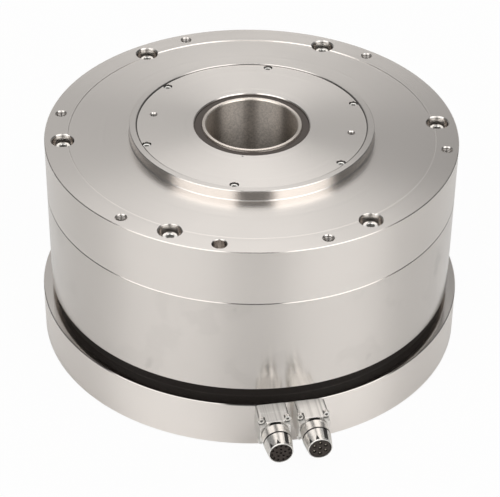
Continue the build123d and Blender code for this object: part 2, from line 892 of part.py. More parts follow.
def contact_insert(side, spots, hole):
    """Insulating insert with one hole for each contact."""
    radius = insert_radius - seat_clearance
    body = Pos(Z=-insert_rim_depth) * Cylinder(radius, insert_length, align=DOWN)
    body += Cylinder(radius - insert_rim, insert_rim_depth, align=DOWN)
    cutter = Cylinder(hole / 2, contact_hole_depth, align=DOWN)
    return socket_place(side) * Pos(Z=insert_front()) * (body - [spot * cutter for spot in spots])


def contacts(side, spots, diameter):
    """Contacts that stand in the holes of an insert."""
    height = contact_hole_depth - contact_recess
    pin = Pos(Z=-contact_hole_depth) * Cylinder(diameter / 2, height, align=UP)
    place = socket_place(side) * Pos(Z=insert_front())
    return group([place * spot * pin for spot in spots])


def ear_screws():
    length = ear_depth + adapter_depth + ear_screw_grip - hole_clearance
    screw = Pos(Z=adapter_depth + ear_depth) * cap_screw(ear_screw, length)
    return group([place * screw for place in ear_screw_places()])


left, right = -1, 1

nodes = {
    "base_housing": base_housing(),
    "hollow_shaft": hollow_shaft(),
    "shaft_screws": shaft_screws(),
    "shaft_seal": shaft_seal(),
    "dust_seal": dust_seal(),
    "stator_core": stator_core(),
    "stator_coils": stator_coils(),
    "bearing_inner_ring": bearing_inner_ring(),
    "inner_clamp_ring": inner_clamp_ring(),
    "inner_clamp_screws": inner_clamp_screws(),
    "encoder_head": encoder_head(),
    "encoder_screws": encoder_screws(),
    "signal_adapter": socket_adapter(left),
    "power_adapter": socket_adapter(right),
    "signal_socket_body": socket_body(left),
    "power_socket_body": socket_body(right),
    "signal_sleeve": socket_sleeve(left),
    "power_sleeve": socket_sleeve(right),
    "signal_insert": contact_insert(left, signal_spots(), signal_contact_hole),
    "power_insert": contact_insert(right, power_spots(), power_contact_hole),
    "signal_contacts": contacts(left, signal_spots(), signal_contact_diameter),
    "power_contacts": contacts(right, power_spots(), power_contact_diameter),
    "ear_screws": ear_screws(),
    "bearing_rollers": bearing_rollers(),
    "bearing_cage": bearing_cage(),
    "top_plate": top_plate(),
    "spigot_ring": spigot_ring(),
    "rotor_drum": rotor_drum(),
    "drum_screws": drum_screws(),
    "rotor_magnets": rotor_magnets(),
    "cover_disc": cover_disc(),
    "cover_screws": cover_screws(),
    "bearing_outer_ring": bearing_outer_ring(),
    "outer_clamp_ring": outer_clamp_ring(),
    "outer_clamp_screws": outer_clamp_screws(),
    "encoder_scale": encoder_scale(),
}

os.makedirs("parts", exist_ok=True)
for name, shape in nodes.items():
    export_step(shape, f"parts/{name}.step")
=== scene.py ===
import json
from math import cos, pi, radians, sin, tan

import bmesh
import bpy
import numpy as np
from bpy.props import FloatProperty, FloatVectorProperty, IntProperty, PointerProperty
from mathutils import Matrix, Vector


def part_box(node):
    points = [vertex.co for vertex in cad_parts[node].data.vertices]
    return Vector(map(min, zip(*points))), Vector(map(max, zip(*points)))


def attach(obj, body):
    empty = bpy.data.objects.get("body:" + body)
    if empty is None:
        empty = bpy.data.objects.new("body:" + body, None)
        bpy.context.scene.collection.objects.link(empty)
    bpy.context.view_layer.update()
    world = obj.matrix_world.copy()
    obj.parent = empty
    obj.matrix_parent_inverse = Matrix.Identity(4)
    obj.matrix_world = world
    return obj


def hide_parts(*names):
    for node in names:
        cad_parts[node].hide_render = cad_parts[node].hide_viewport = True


bl_info = {
    "name": "Torque motor dress",
    "version": (1, 0, 0),
    "blender": (4, 5, 0),
    "location": "3D View > Sidebar > Motor",
    "description": "Finishes, screws, threads and studio of a hollow-shaft torque motor",
    "category": "Object",
}

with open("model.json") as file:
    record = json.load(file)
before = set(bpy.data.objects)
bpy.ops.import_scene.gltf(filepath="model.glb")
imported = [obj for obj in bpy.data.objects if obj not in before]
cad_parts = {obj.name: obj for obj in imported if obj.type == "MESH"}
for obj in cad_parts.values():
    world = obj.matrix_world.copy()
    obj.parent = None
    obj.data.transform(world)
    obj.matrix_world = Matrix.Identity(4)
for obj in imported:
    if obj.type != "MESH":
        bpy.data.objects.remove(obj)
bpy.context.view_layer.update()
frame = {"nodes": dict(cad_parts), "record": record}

MM = 0.001

# Heights on the axis, from the underside of the base
LEDGE = 43 * MM
DRUM_FOOT = 50 * MM
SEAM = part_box("rotor_drum")[1].z
LOAD_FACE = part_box("top_plate")[1].z
COVER_SIDE = 200 * MM
TUBE_LIP = 202.1 * MM
POCKET_TOP = 202.8 * MM
COVER_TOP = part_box("cover_disc")[1].z

# Radii from the axis
DOT_RADIUS = 52.6 * MM
DOT_REACH = 1.1 * MM
SEAL_SPLIT = 70 * MM
COVER_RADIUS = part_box("cover_disc")[1].x
STEP_RADIUS = 160 * MM

# Radii of the circles on which screws and holes stand
FOOT_SCREWS = 49 * MM
JACK_HOLES = 86.8 * MM
COVER_SCREWS = 96.3 * MM
DRUM_SCREWS = 164 * MM
LOAD_HOLES = 170 * MM
BASE_HOLES = 175 * MM

# Sockets: most are distances outwards from the flat
FLAT = -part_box("signal_adapter")[1].y
SOCKET_OFFSET = 16.5 * MM
SOCKET_HEIGHT = 30 * MM
BLOCK_END = 22.6 * MM
SLOT_SPAN = (22.4 * MM, 24.2 * MM)
GROOVE_SPAN = (33.35 * MM, 35.0 * MM)
KEYWAY_SPAN = (35.0 * MM, 46.4 * MM)
MARK_SPAN = (41.6 * MM, 46.5 * MM)
MARK_ANGLES = (102, 138)
EAR_SEAT = 15.5 * MM
EAR_CORNER = 11.1 * MM
PIN_FOOT = 42 * MM
PIN_LENGTH = 4.4 * MM

# Shares of the full colour in a turned surface: bright, plain, lightest (painted highlights, lighter parts)
# and deepest (painted shade, stains and blotches)
BRIGHT, PLAIN, LIGHTEST, DEEPEST = 1.10, 0.92, 1.3, 0.25

# Share of the colour that is left under painted shade, in holes and where parts stand close, and in the
# dark marks of the sockets
SHADE_AND_MARK_SHARE = 0.08

finishes = {}


# Shader maths

class Field:
    """An output of a node that adds, multiplies and compares as a number does."""

    def __init__(self, graph, socket):
        self.graph = graph
        self.socket = socket

    def math(self, operation, *others):
        return self.graph.math(operation, self, *others)

    def __add__(self, other):
        return self.math("ADD", other)

    def __sub__(self, other):
        return self.math("SUBTRACT", other)

    def __rsub__(self, other):
        return self.graph.math("SUBTRACT", other, self)

    def __mul__(self, other):
        return self.math("MULTIPLY", other)

    def __truediv__(self, other):
        return self.math("DIVIDE", other)

    def __neg__(self):
        return self.math("MULTIPLY", -1)

    def __pow__(self, other):
        return self.math("POWER", other)

    def __gt__(self, other):
        return self.math("GREATER_THAN", other)

    def within(self, low, high):
        """One from low to high, nothing outside."""
        return (self > low) * (1 - (self > high))

    __radd__ = __add__
    __rmul__ = __mul__


class Graph:
    """The nodes of one material or world."""

    def __init__(self, tree):
        tree.nodes.clear()
        self.tree = tree

    def node(self, kind, settings=(), values=(), output=0):
        """Adds a node: its settings come first, then the value or link of each socket."""
        node = self.tree.nodes.new(kind)
        for name, value in dict(settings).items():
            setattr(node, name, value)
        for key, value in dict(values).items():
            if isinstance(value, Field):
                self.tree.links.new(value.socket, node.inputs[key])
            else:
                node.inputs[key].default_value = value
        return Field(self, node.outputs[output] if node.outputs else None)

    def math(self, operation, *terms):
        return self.node("ShaderNodeMath", {"operation": operation}, enumerate(terms))

    def mix(self, factor, first, second):
        """Colour between two colours."""
        return self.node(
            "ShaderNodeMix", {"data_type": "RGBA"}, {0: factor, 6: first, 7: second}, 2
        )

    def place(self):
        """Object coordinates, which are the shared frame, since each object sits at the origin."""
        return self.node("ShaderNodeTexCoord", output="Object")

    def split(self, vector):
        node = self.node("ShaderNodeSeparateXYZ", (), {0: vector}).socket.node
        return [Field(self, socket) for socket in node.outputs]

    def noise(self, vector, scale, detail):
        return self.node("ShaderNodeTexNoise", (), {"Vector": vector, "Scale": scale, "Detail": detail})

    def rings(self, distance, detail):
        """Noise that changes with one distance only, as turning marks do."""
        return self.node(
            "ShaderNodeTexNoise", {"noise_dimensions": "1D"}, {"W": distance, "Detail": detail}
        )

    def soft_step(self, value, low, high):
        """Rises smoothly from nothing at low to one at high, which may be the smaller of the two."""
        return self.node(
            "ShaderNodeMapRange", {"interpolation_type": "SMOOTHSTEP"},
            {"Value": value, "From Min": low, "From Max": high},
        )

    def near(self, value, at, far, full):
        """One where a value lies within full of at, nothing beyond far."""
        return self.soft_step((value - at).math("ABSOLUTE"), far, full)

    def openness(self, distance):
        """Share of the space around a point that is open within a distance."""
        return self.node("ShaderNodeAmbientOcclusion", {"samples": 8}, {"Distance": distance}, "AO")

    def bump(self, height, depth):
        return self.node("ShaderNodeBump", (), {"Height": height, "Distance": depth, "Strength": 1.0})


def empty_material(name):
    """New material and its cleared graph."""
    material = bpy.data.materials.new(name)
    material.use_nodes = True
    return material, Graph(material.node_tree)


def shade(name, sockets_of):
    """New material; sockets_of(graph) gives the values of the Principled shader's sockets."""
    material, graph = empty_material(name)
    shader = graph.node("ShaderNodeBsdfPrincipled", (), sockets_of(graph))
    graph.node("ShaderNodeOutputMaterial", (), {"Surface": shader})
    return material


def tone(colour, level=1.0):
    """Colour at a share of its brightness, with full alpha."""
    return (colour[0] * level, colour[1] * level, colour[2] * level, 1.0)


# Finishes

def body_zones(graph, radius, z):
    """How much darker and how much smoother each zone of the body is than a plain face.

    The drum's wall is a little darker, with faint stains; the base and the cover disc are lighter,
    and the turned step has a painted highlight. Painted shade darkens the ledge of the base, the gap
    around the cover disc, the pockets of its screws, its datum dot and, more with depth, the
    counterbores of the top plate.
    """
    base = 1 - (z > DRUM_FOOT)
    drum = z.within(DRUM_FOOT, SEAM)
    ledge = (radius > 176.5 * MM) * graph.near(z, LEDGE, 1.2 * MM, 0.8 * MM)
    cover = (z > COVER_SIDE) * (1 - (radius > COVER_RADIUS))
    cover_gap = graph.near(radius, COVER_RADIUS, 0.7 * MM, 0.3 * MM) * (z > COVER_SIDE)
    pocket = radius.within(92 * MM, COVER_RADIUS) * z.within(198 * MM, POCKET_TOP)
    dot = radius.within(DOT_RADIUS - DOT_REACH, DOT_RADIUS + DOT_REACH) * z.within(201.5 * MM, POCKET_TOP)
    plate = radius.within(150 * MM, 179.5 * MM) * (z > 150 * MM)
    sunk_shade = graph.soft_step(LOAD_FACE - z, 1 * MM, 14 * MM) * plate
    step = graph.near(radius, STEP_RADIUS, 0.6 * MM, 0.3 * MM) * (z > 190 * MM)
    stains = graph.soft_step(graph.noise(graph.place(), 24.0, 4.0), 0.54, 0.74) * drum
    # Painted shade in the ledge, the cover gap, the pockets, the dot and the counterbores; stains on the
    # drum
    dark = drum * 0.45 + ledge * 2.8 + cover_gap * 3.6 + (pocket + dot) * 6 + sunk_shade * 1.2 + stains * 1.5
    # Painted highlight on the turned step; the base and the cover disc are lighter
    light = (base + cover) * 0.9 + step * 1.9
    return dark - light, 1 - drum * 0.25 - ledge * 0.6


def tube_zones(graph, radius, z):
    """The bore of the tube is darker and blotchy below its bright upper edge, with painted shade that
    deepens down the bore.
    """
    blotch = (graph.noise(graph.place(), 620.0, 3.0) - 0.5) * 2.0 + 1.95
    # Painted shade, deeper down the bore
    deep = graph.soft_step(z, LOAD_FACE, 135 * MM) * 1.15
    lip = z > TUBE_LIP
    return (blotch + deep) * (1 - lip), 1 - lip * 0.4


def turned_metal(tint, roughness, spread, pitch, depth, zones=None):
    """Turned and plated metal: marks follow radius on a face and height on a wall.

    Broader passes of the tool lie over the marks, one in every 40 of them.
    """

    def sockets(graph):
        place = graph.place()
        x, y, z = graph.split(place)
        radius = (x * x + y * y) ** 0.5
        travel = radius + z
        marks = graph.rings(travel / pitch, 3.0)
        passes = graph.rings(travel / (40 * pitch), 1.0)
        smears = graph.noise(place, 14.0, 3.0)
        grain = graph.noise(place, 1400.0, 1.0)
        shine = roughness + (marks - 0.5) * 0.06 + (smears - 0.5) * 0.08 + (passes - 0.5) * 0.05
        shadow = (smears - 0.5) * 0.22 + (marks - 0.5) * 0.13 + 0.35
        if zones:
            darker, smoother = zones(graph, radius, z)
            shine = shine * smoother
            shadow = shadow + darker
        colour = graph.mix(shadow, tone(tint, BRIGHT), tone(tint, PLAIN))
        if zones:
            # Past 2 the zones darken the colour towards DEEPEST, for painted shade, stains and blotches;
            # below 0 they lighten it towards LIGHTEST, for painted highlights and lighter parts
            colour = graph.mix((shadow - 2) * 0.5, colour, tone(tint, DEEPEST))
            colour = graph.mix(-shadow * 0.5, colour, tone(tint, LIGHTEST))
        return {
            "Base Color": colour,
            "Metallic": 1.0,
            "Roughness": shine,
            "Anisotropic": spread,
            "Anisotropic Rotation": 0.25,
            "Normal": graph.bump(marks * 0.7 + grain * 0.3, depth),
        }

    return sockets


def socket_zones(graph, x, y, z):
    """Painted shade in the low places of a socket, its dark marks, and how satin it is.

    Painted shade lies in the groove, the slot over the neck and the keyway, and the marks are dark.
    The square blocks are satin, with soft streaks along the socket. The keyway lies below the cone
    of the sleeve, whose radius shrinks by 0.128 of the distance from the flat.
    """
    across = x - ((x > 0) * 2 - 1) * SOCKET_OFFSET
    rise = z - SOCKET_HEIGHT
    out = -y - FLAT
    reach = (across * across + rise * rise) ** 0.5
    cone = 16.45 * MM - out * 0.128
    groove = out.within(*GROOVE_SPAN)
    keyway = out.within(*KEYWAY_SPAN) * (cone - reach > 0.25 * MM)
    slot = out.within(*SLOT_SPAN) * (rise > 0) * (1 - (reach > 12.9 * MM))
    slot = slot * (1 - (across.math("ABSOLUTE") > 4.5 * MM))
    satin = 1 - (out > BLOCK_END)
    streak = graph.soft_step(graph.rings(x / (16 * MM), 1.0), 0.42, 0.75) * satin
    # Painted shade in the groove, the keyway and the slot; the pointed marks are dark marks
    shade_and_marks = groove + keyway * 1.1 + slot + pointed_marks(graph, across, rise, out, reach) * 1.2
    return shade_and_marks + streak * 0.4, satin


def pointed_marks(graph, across, rise, out, reach):
    """One on the two marks near the rim of a sleeve.

    The half width of a mark, measured along a circle of 10.7 mm radius, is 0.34 of the
    distance outwards from its point.
    """
    angle = graph.math("ARCTAN2", rise, across)
    half_width = (out - MARK_SPAN[0]) * 0.34
    outside = sum(
        ((angle - radians(at)).math("ABSOLUTE") * 10.7 * MM > half_width) for at in MARK_ANGLES
    )
    return (len(MARK_ANGLES) - outside) * out.within(*MARK_SPAN) * (reach > 10.2 * MM)


def plated_metal(tint, roughness, hollow, metal=1.0, zones=None):
    """Bright plated metal with fine polishing haze, and painted shade where parts stand close."""

    def sockets(graph):
        place = graph.place()
        haze = graph.noise(place, 180.0, 3.0)
        grain = graph.noise(place, 2600.0, 2.0)
        # Painted shade where little of the space around a point is open
        shade_and_marks = 1 - graph.soft_step(graph.openness(hollow), 0.10, 0.70)
        blur = roughness + (haze - 0.5) * 0.12
        share = metal
        if zones:
            # The zones add painted shade in low places, dark marks and streaks
            zone_shade_and_marks, satin = zones(graph, *graph.split(place))
            shade_and_marks = shade_and_marks + zone_shade_and_marks
            blur = blur + satin * 0.16
            share = metal - satin * 0.30
        return {
            "Base Color": graph.mix(shade_and_marks * 0.85, tone(tint), tone(tint, SHADE_AND_MARK_SHARE)),
            "Metallic": share,
            "Roughness": blur + shade_and_marks * 0.12,
            "Normal": graph.bump(haze * 0.8 + grain * 0.2, 0.02 * MM),
        }

    return sockets


def upright_screw(tint, roughness, lit_spans):
    """Bright screw that stands along Z: lit within each span of heights in mm, painted shade elsewhere."""

    def sockets(graph):
        place = graph.place()
        z = graph.split(place)[2]
        haze = graph.noise(place, 300.0, 3.0)
        # Painted shade on the sides of the screw and in its key, outside the lit spans
        wall = 1 - sum(z.within(low * MM, high * MM) for low, high in lit_spans)
        return {
            "Base Color": graph.mix(wall * 0.62, tone(tint), tone(tint, SHADE_AND_MARK_SHARE)),
            "Metallic": 0.9,
            "Roughness": roughness + (haze - 0.5) * 0.12 + wall * 0.1,
            "Normal": graph.bump(haze, 0.02 * MM),
        }

    return sockets


def moulded(tint, roughness, grain_scale, depth, inner=None, hollow=None):
    """Rubber or plastic with a fine moulded grain and dust.

    Inside SEAL_SPLIT it may have a second colour, and its holes may take painted shade.
    """

    def sockets(graph):
        place = graph.place()
        x, y, z = graph.split(place)
        grain = graph.noise(place, grain_scale, 3.0)
        radius = (x * x + y * y) ** 0.5
        bands = graph.rings((radius + z) / (1.2 * MM), 2.0)
        dust = graph.soft_step(graph.noise(place, 60.0, 4.0), 0.52, 0.80)
        colour = graph.mix(dust * 0.35, tone(tint), tone(tint, 1.8))
        if inner:
            # A lighter grey within SEAL_SPLIT
            inner_colour = graph.mix(grain, tone(inner, 0.8), tone(inner, 1.2))
            colour = graph.mix(radius > SEAL_SPLIT, inner_colour, colour)
        if hollow:
            # Painted shade in the holes
            lit = graph.soft_step(graph.openness(hollow), 0.4, 0.95)
            colour = graph.mix(lit, tone(tint, SHADE_AND_MARK_SHARE), colour)
        return {
            "Base Color": colour,
            "Roughness": roughness + (grain - 0.5) * 0.2 + dust * 0.1,
            "Specular IOR Level": 0.22,
            "Normal": graph.bump(grain * 0.6 + bands * 0.4, depth),
        }

    return sockets


def stacked_sheets(tint, sheet):
    """Edges of stacked sheets: a thin dark line at each joint."""

    def sockets(graph):
        layer = graph.split(graph.place())[2] / sheet
        joint = (layer.math("FRACT") - 0.5).math("ABSOLUTE")
        line = graph.soft_step(joint, 0.30, 0.50)
        edge = graph.rings(layer, 1.0)
        return {
            "Base Color": graph.mix(line, tone(tint), tone(tint, 0.35)),
            "Metallic": 1.0,
            "Roughness": 0.42 + (edge - 0.5) * 0.2,
            "Normal": graph.bump(1 - line, 0.08 * MM),
        }

    return sockets


def wound_wire(tint, wire, teeth):
    """Enamelled wire: one ridge for each turn, counted along the nearest tooth."""

    def sockets(graph):
        place = graph.place()
        x, y = graph.split(place)[:2]
        angle = graph.math("ARCTAN2", y, x)
        step = 2 * pi / teeth
        nearest = (angle / step).math("ROUND") * step
        along = (x * x + y * y) ** 0.5 * (angle - nearest).math("COSINE")
        ridge = (along * (2 * pi / wire)).math("SINE") * 0.5 + 0.5
        patch = graph.noise(place, 90.0, 2.0)
        return {
            "Base Color": graph.mix(patch * 0.6, tone(tint), tone(tint, 0.55)),
            "Metallic": 0.9,
            "Roughness": 0.34 + (patch - 0.5) * 0.2,
            "Coat Weight": 0.5,
            "Normal": graph.bump(ridge ** 0.5, 0.2 * MM),
        }

    return sockets


def graduated(tint, lines):
    """Ground steel with fine dark graduations around the axis."""

    def sockets(graph):
        place = graph.place()
        x, y = graph.split(place)[:2]
        turn = graph.math("ARCTAN2", y, x) / (2 * pi)
        line = (turn * lines).math("FRACT") > 0.5
        haze = graph.noise(place, 120.0, 3.0)
        return {
            "Base Color": graph.mix(line, tone(tint), tone(tint, 0.22)),
            "Metallic": 1.0,
            "Roughness": 0.28 + (haze - 0.5) * 0.12,
            "Normal": graph.bump(haze, 0.01 * MM),
        }

    return sockets


class MotorFinish(bpy.types.PropertyGroup):
    body_tint: FloatVectorProperty(
        name="Body", description="Colour of the turned and plated body", subtype="COLOR",
        default=(0.78, 0.742, 0.71), min=0, max=1)
    body_roughness: FloatProperty(
        name="Body roughness", description="How much the turned faces blur what they mirror",
        default=0.22, min=0, max=1)
    body_spread: FloatProperty(
        name="Turning spread", description="How far turning marks draw reflections out across them",
        default=0.85, min=0, max=1)
    turning_pitch: FloatProperty(
        name="Turning pitch", description="Distance from one turning mark to the next",
        default=0.45 * MM, unit="LENGTH")
    turning_depth: FloatProperty(
        name="Turning depth", description="Depth of the turning marks",
        default=0.006 * MM, unit="LENGTH")
    nickel_tint: FloatVectorProperty(
        name="Nickel", description="Colour of the plated sockets", subtype="COLOR",
        default=(0.92, 0.90, 0.87), min=0, max=1)
    screw_tint: FloatVectorProperty(
        name="Screws", description="Colour of the bright zinc on the screws", subtype="COLOR",
        default=(0.88, 0.87, 0.845), min=0, max=1)
    seal_tint: FloatVectorProperty(
        name="Seals", description="Colour of the black rubber", subtype="COLOR",
        default=(0.017, 0.0135, 0.012), min=0, max=1)
    insert_tint: FloatVectorProperty(
        name="Inserts", description="Colour of the moulded inserts", subtype="COLOR",
        default=(0.050, 0.040, 0.035), min=0, max=1)
    contact_tint: FloatVectorProperty(
        name="Contacts", description="Colour of the plated contacts", subtype="COLOR",
        default=(0.90, 0.84, 0.70), min=0, max=1)
    copper_tint: FloatVectorProperty(
        name="Winding", description="Colour of the enamelled wire", subtype="COLOR",
        default=(0.62, 0.26, 0.11), min=0, max=1)


def make_finishes(look):
    """One material for each slot of the record, and three for pieces that differ from their slot."""
    steel = (0.58, 0.57, 0.55)
    # The floors of the keys and the tops of the heads, which stay lit; painted shade darkens the rest of
    # each screw
    lit_spans = ((184.5, 185.4), (188.75, 190), (199.8, 200.15), (201.45, 202))
    recipes = {
        "machined_body": ("turned_body", turned_metal(
            look.body_tint, look.body_roughness, look.body_spread, look.turning_pitch,
            look.turning_depth, body_zones)),
        "shaft_steel": ("honed_tube", turned_metal(
            (0.88, 0.808, 0.738), 0.46, spread=0.98, pitch=0.3 * MM, depth=0.006 * MM, zones=tube_zones)),
        # The thread walls take the body's colour at 0.62: painted shade in the tapped holes
        "tapped_wall": ("tapped_wall", plated_metal(tone(look.body_tint, 0.62), 0.30, hollow=6 * MM)),
        "screw_steel": ("bright_zinc", plated_metal(look.screw_tint, 0.28, hollow=2.8 * MM)),
        "upright_screw": ("upright_screw", upright_screw(look.screw_tint, 0.26, lit_spans)),
        "seal_rubber": ("black_rubber", moulded(
            look.seal_tint, 0.55, grain_scale=900.0, depth=0.04 * MM, inner=(0.088, 0.075, 0.068))),
        "lamination_steel": ("sheet_stack", stacked_sheets((0.34, 0.34, 0.35), sheet=0.5 * MM)),
        "copper_winding": ("enamelled_wire", wound_wire(look.copper_tint, wire=1.2 * MM, teeth=24)),
        "magnet_nickel": ("magnet_plating", plated_metal((0.62, 0.60, 0.57), 0.30, hollow=2 * MM)),
        "bearing_steel": ("ground_steel", plated_metal((0.70, 0.70, 0.69), 0.12, hollow=2 * MM)),
        "cage_brass": ("cage_brass", turned_metal(
            (0.70, 0.52, 0.24), 0.28, spread=0.4, pitch=0.4 * MM, depth=0.004 * MM)),
        "clamp_steel": ("turned_steel", turned_metal(
            steel, 0.34, spread=0.6, pitch=0.4 * MM, depth=0.006 * MM)),
        "scale_steel": ("graduated_steel", graduated(steel, lines=720)),
        "reader_metal": ("dark_lacquer", moulded(
            (0.05, 0.05, 0.055), 0.38, grain_scale=500.0, depth=0.02 * MM)),
        "socket_nickel": ("bright_nickel", plated_metal(
            look.nickel_tint, 0.24, hollow=3 * MM, metal=0.80, zones=socket_zones)),
        "insert_plastic": ("dark_insert", moulded(
            look.insert_tint, 0.45, grain_scale=1500.0, depth=0.02 * MM, hollow=1.6 * MM)),
        "contact_gold": ("plated_contact", plated_metal(look.contact_tint, 0.30, hollow=0.8 * MM)),
        # The signal contacts take a tenth of their colour: painted shade deep in the holes of the insert
        "shaded_contact": ("shaded_contact", plated_metal(tone(look.contact_tint, 0.1), 0.4, hollow=4 * MM)),
    }
    return {slot: shade(name, sockets_of) for slot, (name, sockets_of) in recipes.items()}


# Surfaces

WELD = 1e-7
SHARP_EDGE = radians(32)


def grid_mesh(name, grids, wrap_rows, wrap_columns):
    """Mesh of quads through grids of points, an array of shape (grids, rows, columns, 3)."""
    count, rows, columns = grids.shape[:3]
    index = np.arange(count * rows * columns).reshape(count, rows, columns)
    if wrap_rows:
        index = np.concatenate([index, index[:, :1]], axis=1)
    if wrap_columns:
        index = np.concatenate([index, index[:, :, :1]], axis=2)
    corners = [index[:, :-1, :-1], index[:, 1:, :-1], index[:, 1:, 1:], index[:, :-1, 1:]]
    faces = np.stack(corners, axis=-1).reshape(-1, 4)
    mesh = bpy.data.meshes.new(name)
    mesh.from_pydata(grids.reshape(-1, 3).tolist(), [], faces.tolist())
    shell = bmesh.new()
    shell.from_mesh(mesh)
    bmesh.ops.remove_doubles(shell, verts=shell.verts, dist=WELD)
    bmesh.ops.recalc_face_normals(shell, faces=shell.faces)
    shell.to_mesh(mesh)
    shell.free()
    mesh.polygons.foreach_set("use_smooth", np.ones(len(mesh.polygons), bool))
    mesh.set_sharp_from_angle(angle=SHARP_EDGE)
    return mesh


def add_piece(name, grids, body, slot, replaced=(), wrap_columns=False, finish=None):
    """Adds a piece whose rows go round, and which rides on a body.

    It takes the finish of a slot of the record, unless it is given another.
    """
    if slot not in finishes:
        raise RuntimeError("make the finishes before the pieces")
    mesh = grid_mesh(name, grids, True, wrap_columns)
    mesh.materials.append(finishes[finish or slot])
    piece = bpy.data.objects.new(name, mesh)
    bpy.context.scene.collection.objects.link(piece)
    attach(piece, body)
    if replaced:
        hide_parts(*replaced)
    return piece


def turned_grid(profile, angles):
    """Points at (radius cos a, radius sin a, height); radius may change with the angle a."""
    radius, height = profile
    around = angles[:, None]
    height = np.broadcast_to(height, radius.shape)
    return np.stack([radius * np.cos(around), radius * np.sin(around), height], axis=-1)


def placed(grid, places):
    """Copies of a grid at several places, each a 4 x 4 matrix: rotated, then moved."""
    matrices = np.array([np.array(place) for place in places])
    turned = np.einsum("kij,rcj->krci", matrices[:, :3, :3], grid)
    return turned + matrices[:, None, None, :3, 3]


def around_axis(radius, height, count, start, flip=False):
    """Places on a circle about Z."""
    over = Matrix.Rotation(pi, 4, "X") if flip else Matrix.Identity(4)
    return [
        Matrix.Rotation(start + 2 * pi * index / count, 4, "Z")
        @ Matrix.Translation((radius, 0, height)) @ over
        for index in range(count)
    ]


class MotorLayout(bpy.types.PropertyGroup):
    rotor_turn: FloatProperty(
        name="Rotor turn", description="Angle of the rotor's datum line",
        default=radians(-19.2), unit="ROTATION")
    top: FloatProperty(
        name="Top", description="Height of the load face", unit="LENGTH",
        default=LOAD_FACE)
    cover_top: FloatProperty(
        name="Cover top", description="Height of the cover disc", unit="LENGTH",
        default=COVER_TOP)
    pattern_count: IntProperty(
        name="Pattern", description="How many screws or holes stand on each circle", default=6)
    flat: FloatProperty(
        name="Flat", description="Distance from the axis to the flat under the sockets",
        unit="LENGTH", default=FLAT)
    socket_offset: FloatProperty(
        name="Socket offset", description="Distance of each socket from the middle plane",
        unit="LENGTH", default=SOCKET_OFFSET)
    socket_height: FloatProperty(
        name="Socket height", description="Height of the middle of the sockets",
        unit="LENGTH", default=SOCKET_HEIGHT)


def socket_frame(layout, side):
    """Frame on the flat for one socket: its Z points outwards and its Y points up."""
    turn = Matrix(((1, 0, 0, 0), (0, 0, -1, 0), (0, 1, 0, 0), (0, 0, 0, 1)))
    place = (side * layout.socket_offset, -layout.flat, layout.socket_height)
    return Matrix.Translation(place) @ turn


# Screws

def cap_screw(thread, length, tall=None):
    """Socket head cap screw with its head on Z = 0.

    The radius follows a profile from the tip up to the head, over its rounded edge and down
    into the key. Round the side of the head a knurl adds a small wave; in the key the radius
    is the flat's distance divided by the cosine of the angle from the nearest flat's middle.
    """
    tall = tall or thread
    head = 0.75 * thread + 0.5 * MM
    flat = 0.375 * thread
    rim = 0.08 * thread
    angles = np.linspace(0, 2 * pi, 144, endpoint=False)
    hexagon = 1 / np.cos((angles + pi / 6) % (pi / 3) - pi / 6)
    knurl = np.abs((angles * 36 / (2 * pi)) % 1 * 2 - 1)
    bend = np.linspace(0, pi / 2, 5)
    # Each station: radius, height, share of the knurl and share of the hexagon
    tip = [(0, -length, 0, 0), (0.42 * thread, -length, 0, 0), (0.5 * thread, -length * 0.97, 0, 0)]
    side = [(0.5 * thread, 0, 0, 0), (head - rim, 0, 0, 0), (head, 0.10 * tall, 0, 0),
            (head, 0.16 * tall, 1, 0), (head, 0.72 * tall, 1, 0), (head, 0.78 * tall, 0, 0)]
    edge = [(head - rim + rim * cos(a), tall - rim + rim * sin(a), 0, 0) for a in bend]
    key = [(1.20 * flat, tall, 0, 0), (1.16 * flat, 0.99 * tall, 0, 0),
           (flat, 0.93 * tall, 0, 1), (flat, 0.50 * tall, 0, 1),
           (0.9 * flat, 0.49 * tall, 0, 0), (0, 0.42 * tall, 0, 0)]
    size, height, wavy, keyed = np.array(tip + side + edge + key).T
    radius = size * (1 - keyed + keyed * hexagon[:, None]) - wavy * knurl[:, None] * 0.02 * thread
    return turned_grid((radius, height), angles)


class MOTOR_OT_screws(bpy.types.Operator):
    """Puts knurled socket head screws in the place of the plain ones"""
    bl_idname = "motor.screws"
    bl_label = "Screws"

    def execute(self, context):
        layout = context.scene.motor_layout
        count = layout.pattern_count
        seat = layout.top - 13.7 * MM
        drum = around_axis(DRUM_SCREWS, seat, count, start=layout.rotor_turn + radians(15))
        add_piece("drum_cap_screws", placed(cap_screw(thread=8 * MM, length=59.3 * MM), drum),
                  "rotor", "screw_steel", ["drum_screws"], finish="upright_screw")
        seat = layout.cover_top - 4.4 * MM
        cover = around_axis(COVER_SCREWS, seat, count, start=layout.rotor_turn + radians(30))
        cover_screw = cap_screw(thread=4 * MM, length=19.1 * MM, tall=3.1 * MM)
        add_piece("cover_cap_screws", placed(cover_screw, cover),
                  "rotor", "screw_steel", ["cover_screws"], finish="upright_screw")
        foot = around_axis(FOOT_SCREWS, 9.6 * MM, count, start=0, flip=True)
        add_piece("foot_cap_screws", placed(cap_screw(thread=4 * MM, length=9.5 * MM), foot),
                  "base", "screw_steel", ["shaft_screws"])
        corners = (-EAR_CORNER, EAR_CORNER)
        ears = [
            socket_frame(layout, side) @ Matrix.Translation((x, y, EAR_SEAT))
            for side in (-1, 1) for x in corners for y in corners
        ]
        add_piece("ear_cap_screws", placed(cap_screw(thread=3 * MM, length=23 * MM), ears),
                  "base", "screw_steel", ["ear_screws"])
        return {"FINISHED"}


# Threads

